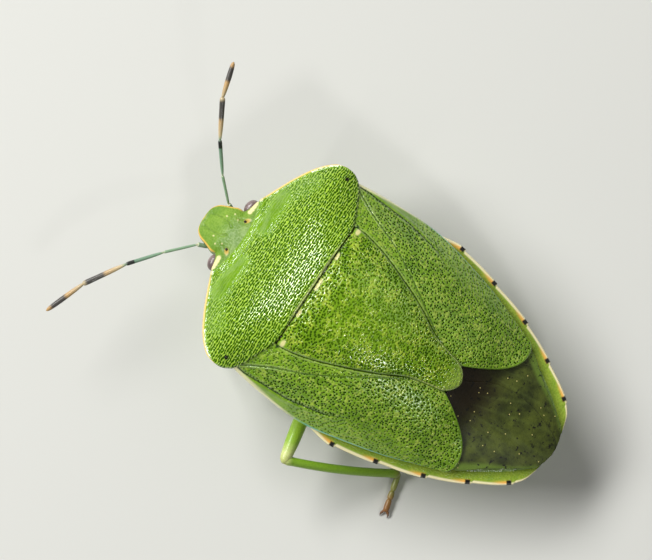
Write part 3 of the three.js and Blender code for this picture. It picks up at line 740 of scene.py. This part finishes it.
class BUG_OT_forewings(bpy.types.Operator):
    """Builds the leathery fields of both folded forewings"""
    bl_idname = "bug.forewings"
    bl_label = "Forewings"

    def execute(self, context):
        p, grain = settings()
        inner = plan_curve([WING_ROOT]
                           + [(float(scutellum_half(s)) - 0.12, s) for s in (6, 7, 8, 9, 10, 10.6, 11.4)]
                           + CORIUM_END[:1])
        outer = plan_curve(COSTAL_EDGE)
        end = plan_curve(CORIUM_END)

        def root(t):
            return [mix(a, b, t) for a, b in zip(WING_ROOT, COSTAL_EDGE[0])]

        x, s = coons(root, end, inner, outer, grid_size(3.1, grain), grid_size(8.8, grain))
        near, far, _, behind = edges(x, s)
        furrow = away_from(x, s, line_of(plan_curve(CLAVAL_FURROW)))
        vein = away_from(x, s, line_of(plan_curve(COSTAL_VEIN)))
        fade = fall(s, 8.2, 9.8)
        inside = fall(beside(x, s, CLAVAL_FURROW), -0.05, 0.0)
        clavus = inside * fall(s, 10.2, 10.8)
        closed = fall(s, 10.5, 10.9)

        def line(distance, centre, half):
            return fall(np.abs(distance - centre), half * 0.3, half)

        ribs = line(furrow, 0.07, 0.035) * fall(s, 6.0, 7.4)
        ribs = np.maximum(ribs, line(near, 0.19, 0.045) * fall(s, 9.5, 10.5))
        grooves = np.maximum(line(furrow, 0.0, 0.035) * closed, line(near, 0.1, 0.05))
        vein_line = line(vein, 0.0, 0.05) * fade
        top = dorsum(x, s) - p.wing_drop / MM - roll(far, 0.14) - roll(behind, 0.06)
        top += 0.014 * ribs - 0.03 * grooves - 0.02 * vein_line + 0.03 * line(vein, 0.12, 0.1) * fade
        top -= 0.16 * fall(near, 0.06, 0.16) * closed
        lobe = fall(behind, 0.04, 0.14)
        edge = fall(far, 0.06, 0.12)
        base_edge = fall(far, 0.1, 0.2) * fall(s, 5.2, 7.0)
        border = smooth(beside(x, s, COSTAL_VEIN), -0.05, 0.1)
        masks = {
            "plain": highest(lobe, 0.9 * edge, 0.95 * border * fall(s, 6.6, 8.6),
                             0.3 * border, 0.2 * clavus, ribs, grooves,
                             0.4 * fall(s, 5.0, 6.4) * (1 - border)),
            "warm": highest(edge * fall(s, 6.6, 8.2) * 0.95, 0.9 * base_edge, 0.12 * ribs),
            "pale": edge * smooth(s, 7.4, 8.6) * fall(s, 13.2, 13.9),
            # Painted shade: a dark spot at the wing root just behind the pronotum, and a dark line on the
            # rear edge where the corium lies over the membrane
            "dark": highest(0.7 * grooves, 0.9 * vein_line, near_points(x, s, [(2.92, 5.56)], 0.1),
                            0.6 * fall(behind, 0.01, 0.04)),
        }
        # Corium: leathery forewing, dark green punctures between smooth yellow-green flecks
        pattern = (p.pit_spacing / MM * 1.15, (1.0, 0.95, 1.0), 0.06, 0.42)
        skin = cuticle("corium", p.wing_green, "#689018", "#102e00", pattern, net="#aec44c", net_size=0.17,
                       net_from=0.3, blobs=True, net_tint=0.7, roughness=0.28, relief=0.02, coat=0.5,
                       pale="#6cc4a8", warm="#eeeab4", dark="#1e3c08", tint=0.95)
        for side, k in SIDES:
            obj = sheet("corium_" + side, x, s, top, top - WING_THICK, masks, k)
            puncture(obj, p.pit_depth, skin, *pattern)
            declare(obj, "corium", "forewing_" + side)
        return {"FINISHED"}


class BUG_OT_membranes(bpy.types.Operator):
    """Builds the thin membranes at the wings' tips, the left one over the right one"""
    bl_idname = "bug.membranes"
    bl_label = "Membranes"

    def execute(self, context):
        p, grain = settings()
        outline = through([(12.3, 0.9), (12.8, 1.35), (13.7, 2.05), (14.2, 2.75), (14.5, 2.98), (15.55, 2.2),
                           (16.55, 1.52), (17.2, 1.05), (17.42, 0.66), (17.52, 0.2)])
        inner = through([(12.3, -0.2), (12.8, -0.3), (13.5, -0.75), (14.2, -1.0), (15, -1.1), (16, -0.95),
                         (17, -0.6), (17.42, -0.3), (17.52, -0.1)])
        skin = membrane_film()
        for side, k in SIDES:
            u, s = grid(0, MEMBRANE_ENDS, grid_size(3.6, grain * 1.4), grid_size(5.2, grain * 1.4))
            x = mix(inner(s) if k > 0 else -inner(s) - 0.35, outline(s), u)
            near, far, _, _ = edges(x, s)
            top = (dorsum(x, s) - p.wing_drop / MM - 0.2 + 0.12 * smooth(s, 13.6, 14.8)
                   - (0.0 if k > 0 else 0.05))
            fan = np.arctan2(x - 0.9, s - 11.6) * 9.0
            veins = np.abs(np.sin(fan * math.pi * 0.6)) ** 24 * smooth(s, 13.2, 14.2)
            top += 0.002 * veins
            top += 0.006 * np.sin(x * 9 + s * 4) * np.sin(s * 5.5 - x * 3)
            top -= roll(np.minimum(near, far), 0.05)
            masks = {
                "veins": veins,
                "green": smooth(beside(np.abs(x), s, GREEN_EDGE), -0.15, 0.15),
                "base": fall(np.hypot(x * 0.8, s - 12.7), 0.6, 2.4),
            }
            obj = sheet("membrane_" + side, x, s, top, top - MEMBRANE_THICK, masks, k)
            obj.data.materials.append(skin)
            declare(obj, "corium")
        return {"FINISHED"}


class BUG_OT_abdomen(bpy.types.Operator):
    """Builds the underside of thorax and abdomen"""
    bl_idname = "bug.abdomen"
    bl_label = "Abdomen"

    def execute(self, context):
        p, grain = settings()
        u, s = grid(-1, BELLY_ENDS, grid_size(9.0, grain * 3), grid_size(12.8, grain * 2))
        x = u * (belly_half(s) - 0.05)
        near, far, _, _ = edges(x, s)
        groove = np.zeros_like(x)
        for end in SEGMENT_ENDS:
            groove = np.maximum(groove, fall(np.abs(s - end + 0.25 * (1 - u * u)), 0.03, 0.12))
        groove = np.maximum(groove, fall(np.abs(s - 7.95), 0.04, 0.16))
        under = np.minimum(dorsum(x, s) - 0.55, rim(s) - 0.25 + 0.4 * (1 - np.abs(u)))
        bottom = np.minimum(venter(x, s), under - 0.12) + 0.07 * groove + roll(np.minimum(near, far), 0.2)
        holes = near_points(x, s, [(float(belly_half(e)) * 0.86, e - 0.9) for e in SEGMENT_ENDS[1:]], 0.13)
        masks = {
            "plain": 0.6 + 0 * x,
            "pale": 0.35 * (1 - np.abs(u)),
            "dark": np.maximum(0.5 * groove, holes),
        }
        belly = sheet("belly", x, s, under, bottom, masks, under=1.0)
        # Belly cuticle: pale green plates with a groove between neighbours and a dark breathing hole on each
        pattern = (p.pit_spacing / MM * 1.3, (1, 1, 1), 0.05)
        skin = cuticle("belly_cuticle", "#93b455", "#7ea345", "#5d8530", pattern, roughness=0.4,
                       pale="#c3cf8c", dark="#3d5320")
        puncture(belly, p.pit_depth, skin, *pattern)
        declare(belly, "belly_cuticle", "thorax", "abdomen")
        return {"FINISHED"}


class BUG_OT_connexivum(bpy.types.Operator):
    """Builds the flat segmented rim of the abdomen beside the wings"""
    bl_idname = "bug.connexivum"
    bl_label = "Rim of the abdomen"

    def execute(self, context):
        p, grain = settings()
        wing_edge = plan_curve([(4.75, 8.0)] + COSTAL_EDGE[5:]
                               + [(3.0, 14.4), (2.1, 15.55), (1.5, 16.5), (0.9, 17.2), (0.3, 17.35)])
        inside = through([(along, across) for across, along in line_of(wing_edge, 60)])
        u, s = grid(0, RIM_ENDS, grid_size(1.0, grain), grid_size(9.3, grain))
        tooth = np.zeros_like(s)
        for start, end in zip(RIM_ENDS[:1] + SEGMENT_ENDS, SEGMENT_ENDS + RIM_ENDS[1:]):
            start, end = start + 0.12, end + 0.12
            share = np.clip((s - start) / (end - start), 0, 1)
            bulge = 0.075 * share**1.5 + 0.02 * np.sin(share * math.pi)
            tooth += np.where((s > start) & (s <= end), bulge, 0)
        outer = belly_half(s) + tooth
        x = mix(np.minimum(inside(s) - 0.35, outer - 0.3), outer, u)
        _, far, _, _ = edges(x, s)
        cut = np.minimum.reduce([np.abs(s - end - 0.12) for end in SEGMENT_ENDS])
        top = rim(s) - 0.24 + 0.05 * np.sin(np.clip(u, 0, 1) * math.pi) - roll(far, 0.05)
        top -= 0.008 * fall(cut, 0.01, 0.05)
        spots = np.zeros_like(x)
        warm = np.zeros_like(x)
        slope = np.gradient(belly_half(s), axis=0) / np.gradient(s, axis=0)
        square = s - slope * far / (1 + slope**2)  # read across the rim, square to its edge
        long = np.sqrt(1 + slope**2)
        for end in SEGMENT_ENDS:
            spot = fall(np.abs(square - end) * long, 0.09, 0.13) * fall(far / long, 0.17, 0.22)
            spots = np.maximum(spots, spot)
            warm = np.maximum(warm, fall(far, 0.14, 0.28) * smooth(s, end - 0.8, end - 0.15) * (s < end))
        masks = {
            "plain": 0.75 + 0.25 * fall(far, 0.1, 0.25),
            "warm": warm * smooth(far, 0.05, 0.1) * 0.9,
            "pale": fall(far, 0.09, 0.16) * 0.9,
            "dark": spots,
        }
        # Connexivum: the flat green rim of the abdomen, edged with cream, orange and black
        pattern = (p.pit_spacing / MM, (1, 1, 1), 0.06)
        skin = cuticle("connexivum_cuticle", "#9fb53a", "#88a630", "#5d8226", pattern, roughness=0.3,
                       coat=0.15, pale="#fdf0c0", warm="#f8b450", dark="#0b0b08")
        for side, k in SIDES:
            obj = sheet("connexivum_" + side, x, s, top, top - RIM_THICK, masks, k)
            puncture(obj, p.pit_depth, skin, *pattern)
            declare(obj, "belly_cuticle")
        return {"FINISHED"}


OCELLUS_PLACE = (0.7, 1.5)
OCELLUS_RADII = (0.062, 0.062, 0.07)
OCELLUS_SINK = 0.075


class BUG_OT_head(bpy.types.Operator):
    """Builds the head with its simple eyes"""
    bl_idname = "bug.head"
    bl_label = "Head"

    def execute(self, context):
        p, grain = settings()
        half = through([(-0.14, 0.3), (-0.08, 0.52), (0.0, 0.66), (0.12, 0.77), (0.28, 0.85), (0.56, 0.93),
                        (0.8, 1.0), (1.0, 1.06), (1.14, 1.08), (1.46, 1.08), (1.6, 1.2), (1.78, 1.52),
                        (1.88, 1.72), (2.1, 1.76)])
        crown = through([(0, 3.28), (0.5, 3.75), (1, 4.12), (2.1, 4.55)])
        floor = through([(0, 2.85), (0.5, 2.45), (1, 2.25), (2.1, 2.1)])
        u, v = grid(-1, HEAD_ENDS, grid_size(2.6, grain), grid_size(2.3, grain))
        x = u * half(v)
        s = v - 0.4 * (np.maximum(v, 0) / 1.75) ** 2 * u * u
        near, far, ahead, _ = edges(x, s)
        margin = np.minimum(near, far)
        suture = away_from(np.abs(x), s, [(0.3, 0.1), (0.37, 0.5), (0.33, 0.95), (0.2, 1.15)])
        stray = away_from(np.abs(x), s, [(0.62, 1.15), (0.8, 1.5), (0.85, 1.8)])
        top = crown(s) - mix(0.14, 0.42, v / 2.1) * np.abs(u) ** 2.4
        top -= 0.035 * fall(suture, 0.02, 0.08) + 0.02 * fall(stray, 0.02, 0.08)
        warts = [(0.5, 0.7), (0.75, 0.95), (0.6, 1.2)]
        top += 0.02 * near_points(x, s, warts, 0.07)
        top -= roll(margin, 0.07) + roll(ahead, 0.12)
        bottom = np.minimum(floor(s) + mix(0.1, 0.7, v / 2.1) * np.abs(u) ** 2.4, top - 0.12)
        rim_away = np.minimum(margin, ahead * 1.3)
        line = fall(rim_away, 0.035, 0.09) * fall(s, 1.0, 1.2) * (0.55 + 0.45 * smooth(np.abs(u), 0.5, 0.9))
        behind_eye = [(1.16, 1.42), (1.3, 1.44), (1.45, 1.44), (1.6, 1.44), (1.7, 1.44)]
        masks = {
            "plain": 0.72 + 0 * x,
            "warm": np.maximum(line * 0.9, 0.8 * near_points(x, s, [(0.73, 1.52), (0.79, 1.57)], 0.12)),
            "pale": highest(near_points(x, s, behind_eye, 0.13), 0.7 * near_points(x, s, warts, 0.05),
                            0.6 * near_points(x, s, [(0.85, 1.62)], 0.09)),
            "dark": (0.3 * fall(suture, 0.01, 0.04) + 0.15 * fall(stray, 0.01, 0.04)
                     + 0.22 * smooth(s, 0.9, 1.4) * fall(np.abs(u), 0.6, 0.9)),
        }
        obj = sheet("head_capsule", x, s, top, bottom, masks)
        # Head cuticle: smoother and brighter than the shield, edged with a thin orange line
        pattern = (p.pit_spacing / MM, (1, 1, 1), 0.1)
        skin = cuticle("head_cuticle", p.head_green, "#668c20", "#44701c", pattern, net="#98b44a",
                       net_size=0.3, net_from=0.3, blobs=True, net_tint=0.4, roughness=0.45, relief=0.015,
                       coat=0.0, dark="#35501a", warm="#e8b850", pale="#e6dca0")
        puncture(obj, p.pit_depth * 0.6, skin, *pattern)
        declare(obj, "head_cuticle", "head")
        across, along = OCELLUS_PLACE
        level = float(crown(along)) - OCELLUS_SINK
        beads = [bead_rings((across * k, along, level), OCELLUS_RADII, 12) for _, k in SIDES]
        ocelli = joined("ocelli", beads, 18)
        # Simple eyes: two glossy, dark red lenses
        lens = shaded(new_material("ocellus")[0], Base_Color=linear("#1c0a06"), Roughness=0.08,
                      Coat_Weight=0.6)
        ocelli.data.materials.append(lens)
        declare(ocelli, "eye")
        return {"FINISHED"}


EYE_CENTRE = (1.4, 1.33, 3.6)
EYE_RADII = (0.36, 0.27, 0.27)
EYE_TURN = 11  # degrees outwards


class BUG_OT_eyes(bpy.types.Operator):
    """Builds the two compound eyes with their facets"""
    bl_idname = "bug.eyes"
    bl_label = "Eyes"

    def execute(self, context):
        p, _ = settings()
        glass = eye_glass(p.facet)
        points, faces, _, _ = tube(bead_rings((0, 0, 0), EYE_RADII, 64), 96)
        for side, k in SIDES:
            turn = Matrix.Rotation(math.radians(EYE_TURN * k), 3, "Z")
            place = Vector((EYE_CENTRE[0] * k, *EYE_CENTRE[1:]))
            obj = new_object("eye_" + side + "_globe", metres([turn @ q + place for q in points]), faces)
            obj.data.materials.append(glass)
            declare(obj, "eye", "eye_" + side)
        return {"FINISHED"}


FEELERS = {
    "left": [(0.92, 0.72, 2.85), (1.12, 0.28, 3.05), (2.2, -0.68, 3.3), (3.51, -1.68, 3.5), (5.2, -2.71, 3.4),
             (6.99, -3.4, 3.0)],
    "right": [(-0.9, 0.8, 2.85), (-1.02, 0.41, 3.1), (-1.8, -0.4, 3.95), (-2.86, -1.22, 4.95),
              (-4.28, -2.02, 5.8), (-5.69, -2.42, 6.2)],
}
# Radii at the two ends of each joint of a feeler
FEELER_RADII = [(0.085, 0.095), (0.055, 0.06), (0.06, 0.08), (0.08, 0.11), (0.09, 0.11)]
FEELER_BANDS = [(0.0, "#8aa07c"), (0.92, "#86a080"), (1.02, "#c9c9a8"), (1.08, "#84a486"),
                (1.95, "#84a480"), (2.02, "#b5bf9a"), (2.08, "#82a284"), (2.775, "#6f8f76"),
                (2.785, "#1b211c"), (2.97, "#161a16"), (3.02, "#8fa58a"), (3.12, "#c8b48a"),
                (3.46, "#b89a6c"), (3.54, "#504c46"), (3.9, "#44423e"), (3.97, "#b8a884"),
                (4.42, "#b8935c"), (4.5, "#45413c"), (4.82, "#45413c"), (4.9, "#b08a55"), (5.0, "#b89560")]


class BUG_OT_feelers(bpy.types.Operator):
    """Builds the two feelers of five joints"""
    bl_idname = "bug.feelers"
    bl_label = "Feelers"

    def execute(self, context):
        p, _ = settings()
        # Feeler cuticle: green at the base, then orange and grey-black bands, finely haired
        skin = banded("feeler_cuticle", FEELER_BANDS, 0.45, (1.0, 1.0))
        for side, joints in FEELERS.items():
            parts = []
            for i, (a, b, (thin, thick)) in enumerate(zip(joints[:-1], joints[1:], FEELER_RADII)):
                tip = [(0.97, thick), (1.005, thick * 0.55)]
                if i == 4:
                    tip = [(0.93, thick * 0.75), (0.985, thick * 0.4), (1.0, 0.02)]
                parts.append(limb(a, b, [(-0.005, thin * 0.5), (0.05, thin * 0.8),
                                         (0.3, mix(thin, thick, 0.6)), (0.7, thick), *tip],
                                  segment=i, steps=40))
            obj = joined("antenna_" + side + "_flagellum", parts, 24)
            hair(obj, skin, p.hair_length * 0.55, 420)
            declare(obj, "antenna", "antenna_" + side)
        return {"FINISHED"}


BEAK_PATH = [(0, 0.3, 2.5), (0, 1.5, 1.72), (0, 3.6, 1.52), (0, 5.3, 1.36), (0, 6.7, 1.2)]


class BUG_OT_beak(bpy.types.Operator):
    """Builds the beak folded back under the body"""
    bl_idname = "bug.beak"
    bl_label = "Beak"

    def execute(self, context):
        parts = []
        for i, (a, b) in enumerate(zip(BEAK_PATH[:-1], BEAK_PATH[1:])):
            r = 0.2 - 0.025 * i
            tip = r * 0.35 if i == 3 else r * 0.8
            parts.append(limb(a, b, [(-0.02, r * 0.6), (0.06, r), (0.8, r * 0.92), (1.0, tip)], segment=i))
        obj = joined("beak", parts, 20)
        # Beak cuticle: pale green, brown towards the tip
        obj.data.materials.append(banded("beak_cuticle", [(0.0, "#8fae4c"), (2.6, "#93a050"),
                                                          (3.6, "#5b4326"), (4.0, "#241a10")]))
        declare(obj, "leg_cuticle", "rostrum")
        return {"FINISHED"}


LEGS = {  # hip, knee, ankle and toe
    "front_left": [(1.3, 3.9, 2.05), (4.2, 3.9, 2.7), (3.95, 2.95, 0.4), (2.6, 2.3, 0.13)],
    "middle_left": [(1.45, 5.95, 1.9), (4.4, 5.95, 2.65), (4.2, 7.1, 0.4), (3.9, 8.7, 0.13)],
    "hind_left": [(1.5, 7.4, 1.75), (6.57, 8.4, 2.75), (4.3, 12.85, 0.45), (6.17, 13.34, 0.13)],
    "front_right": [(-1.3, 3.9, 2.05), (-4.2, 3.9, 2.7), (-3.9, 2.9, 0.4), (-2.5, 2.2, 0.13)],
    "middle_right": [(-1.45, 5.95, 1.9), (-4.4, 5.95, 2.65), (-4.15, 7.1, 0.4), (-4.0, 8.75, 0.13)],
    "hind_right": [(-1.5, 7.4, 1.75), (-4.35, 10.9, 1.85), (-2.75, 15.1, 0.4), (-2.1, 16.75, 0.13)],
}
HIP_RADIUS = 0.52
FOOT_JOINTS = (0.0, 0.42, 0.62, 0.9)


class BUG_OT_legs(bpy.types.Operator):
    """Builds the six legs, with hairs and claws"""
    bl_idname = "bug.legs"
    bl_label = "Legs"

    def execute(self, context):
        p, _ = settings()
        # Leg cuticle: green with pale knees, the foot turning brown towards its claws
        thigh_skin = banded("femur_cuticle", [(0.0, "#a4bc48"), (0.3, "#94b834"), (0.85, "#8ab02e"),
                                              (0.96, "#c4cc80"), (1.0, "#bcc474")])
        shin_skin = banded("tibia_cuticle", [(0.0, "#bcc474"), (0.06, "#86b02c"), (0.5, "#7ea82a"),
                                             (0.93, "#7c9e30"), (1.0, "#86843c")])
        foot_skin = banded("tarsus_cuticle", [(0.0, "#84924a"), (0.9, "#8a8a42"), (1.3, "#8a8040"),
                                              (2.0, "#96703a"), (3.0, "#8a5a2c"), (4.0, "#20140c")])
        for leg, joints in LEGS.items():
            hip, knee, ankle, toe = np.array(joints)
            bead = bead_rings(hip, (HIP_RADIUS,) * 3, 16)
            thigh = limb((hip[0] * 1.12, hip[1], hip[2] - 0.5), knee,
                         [(-0.03, 0.16), (0.03, 0.24), (0.15, 0.26), (0.5, 0.32), (0.8, 0.31), (0.94, 0.26),
                          (1.0, 0.21), (1.03, 0.09)], steps=44)
            obj = joined("leg_" + leg + "_thigh", [bead, thigh], 24)
            hair(obj, thigh_skin, p.hair_length * 0.6, p.hair_count)
            declare(obj, "leg_cuticle", "leg_" + leg + "_femur")
            shin = limb(knee, ankle, [(-0.01, 0.12), (0.02, 0.2), (0.08, 0.19), (0.5, 0.19), (0.9, 0.19),
                                      (0.985, 0.2), (1.0, 0.12)],
                        bow=(0.12, 0.05, 0.0) if leg == "hind_left" else (0, 0, 0), steps=60)
            obj = joined("leg_" + leg + "_shin", [shin], 24)
            hair(obj, shin_skin, p.hair_length, p.hair_count * 2)
            declare(obj, "leg_cuticle", "leg_" + leg + "_tibia")
            level = np.array((ankle[0], ankle[1], toe[2] + 0.12))
            parts = []
            profile = [(-0.02, 0.08), (0.12, 0.12), (0.85, 0.13), (1.03, 0.08)]
            for i, (start, end) in enumerate(zip(FOOT_JOINTS[:-1], FOOT_JOINTS[1:])):
                a, b = mix(level, toe, start), mix(level, toe, end)
                parts.append(limb(a, b, profile, segment=i, steps=16))
            along = (toe - level) / np.linalg.norm(toe - level)
            aside = np.array((-along[1], along[0], 0.0))
            for _, k in SIDES:
                root = mix(level, toe, 0.88) + aside * 0.05 * k
                tip = toe + aside * 0.16 * k + along * 0.06
                tip[2] = 0.035
                parts.append(limb(root, tip, [(0.0, 0.06), (0.5, 0.045), (1.0, 0.012)],
                                  bow=aside * 0.05 * k + (0, 0, 0.04), segment=3, steps=14))
            obj = joined("leg_" + leg + "_foot", parts, 16)
            hair(obj, foot_skin, p.hair_length * 0.7, p.hair_count)
            declare(obj, "leg_cuticle", "leg_" + leg + "_tarsus")
        return {"FINISHED"}


# The stage in metres, except the camera's place, which is in millimetres like a place on the animal
LAMPS = {  # place, width, depth and watts
    "key": ((0.0, -0.185, 0.178), 0.26, 0.07, 1.05),
    "fill": ((-0.2, 0.1, 0.22), 0.3, 0.3, 0.12),
    "rim": ((0.13, 0.15, 0.2), 0.04, 0.04, 0.14),
}
LIT_POINT = (0, 0, 0.004)
FLOOR_HALF = 0.6
CAMERA_PLACE = (6.15, 7.64, 79.17)
CAMERA_RIGHT = (-0.5583, 0.8295, 0.0279)
CAMERA_DOWN = (0.8252, 0.5584, -0.0888)


class BUG_OT_stage(bpy.types.Operator):
    """Lays the floor, sets the lights and places the camera"""
    bl_idname = "bug.stage"
    bl_label = "Stage"

    def execute(self, context):
        p, _ = settings()
        corners = [(i * FLOOR_HALF, j * FLOOR_HALF, 0) for i, j in ((-1, -1), (1, -1), (1, 1), (-1, 1))]
        floor = new_object("floor", corners, [(0, 1, 2, 3)])
        # Floor: plain pale paper
        paper = shaded(new_material("floor_paper")[0], Base_Color=p.paper, Roughness=0.9)
        floor.data.materials.append(paper)
        for name, (place, wide, deep, watts) in LAMPS.items():
            light = bpy.data.lights.new(name, "AREA")
            light.shape = "RECTANGLE"
            light.size = wide
            light.size_y = deep
            light.energy = watts
            obj = bpy.data.objects.new(name, light)
            obj.location = place
            obj.rotation_euler = (Vector(LIT_POINT) - Vector(place)).to_track_quat("-Z", "Y").to_euler()
            context.scene.collection.objects.link(obj)
        world = bpy.data.worlds.new("studio")
        world.use_nodes = True
        sky = world.node_tree.nodes["Background"].inputs
        sky["Color"].default_value = (1, 1, 1, 1)
        sky["Strength"].default_value = 0.06
        context.scene.world = world
        context.scene.view_settings.view_transform = "Standard"

        view = bpy.data.cameras.new("camera")
        view.lens = p.lens
        view.sensor_width = 36.0
        view.clip_start = 0.001
        view.clip_end = 10.0
        camera = bpy.data.objects.new("camera", view)
        right = Vector(CAMERA_RIGHT).normalized()
        down = Vector(CAMERA_DOWN).normalized()
        back = right.cross(-down).normalized()
        up = back.cross(right)
        turn = Matrix((right, up, back)).transposed().to_4x4()
        camera.matrix_world = Matrix.Translation(Vector(metres(CAMERA_PLACE))) @ turn
        context.scene.collection.objects.link(camera)
        context.scene.camera = camera
        return {"FINISHED"}


OPERATORS = (BUG_OT_stage, BUG_OT_pronotum, BUG_OT_scutellum, BUG_OT_forewings, BUG_OT_membranes,
             BUG_OT_abdomen, BUG_OT_connexivum, BUG_OT_head, BUG_OT_eyes, BUG_OT_feelers, BUG_OT_beak,
             BUG_OT_legs)


class BUG_PT_panel(bpy.types.Panel):
    """Lists the steps that build the bug"""
    bl_idname = "BUG_PT_panel"
    bl_label = "Shield bug"
    bl_space_type = "VIEW_3D"
    bl_region_type = "UI"
    bl_category = "Shield bug"

    def draw(self, context):
        for key in BugSettings.__annotations__:
            self.layout.prop(context.scene.bug, key)
        for operator in OPERATORS:
            self.layout.operator(operator.bl_idname)


CLASSES = (BugSettings, *OPERATORS, BUG_PT_panel)


def register():
    for kind in CLASSES:
        bpy.utils.register_class(kind)
    bpy.types.Scene.bug = bpy.props.PointerProperty(type=BugSettings)


def unregister():
    del bpy.types.Scene.bug
    for kind in reversed(CLASSES):
        bpy.utils.unregister_class(kind)


def main():
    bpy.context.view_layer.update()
    register()
    for operator in OPERATORS:
        group, step = operator.bl_idname.split(".")
        getattr(getattr(bpy.ops, group), step)()


if __name__ == "__main__":
    main()
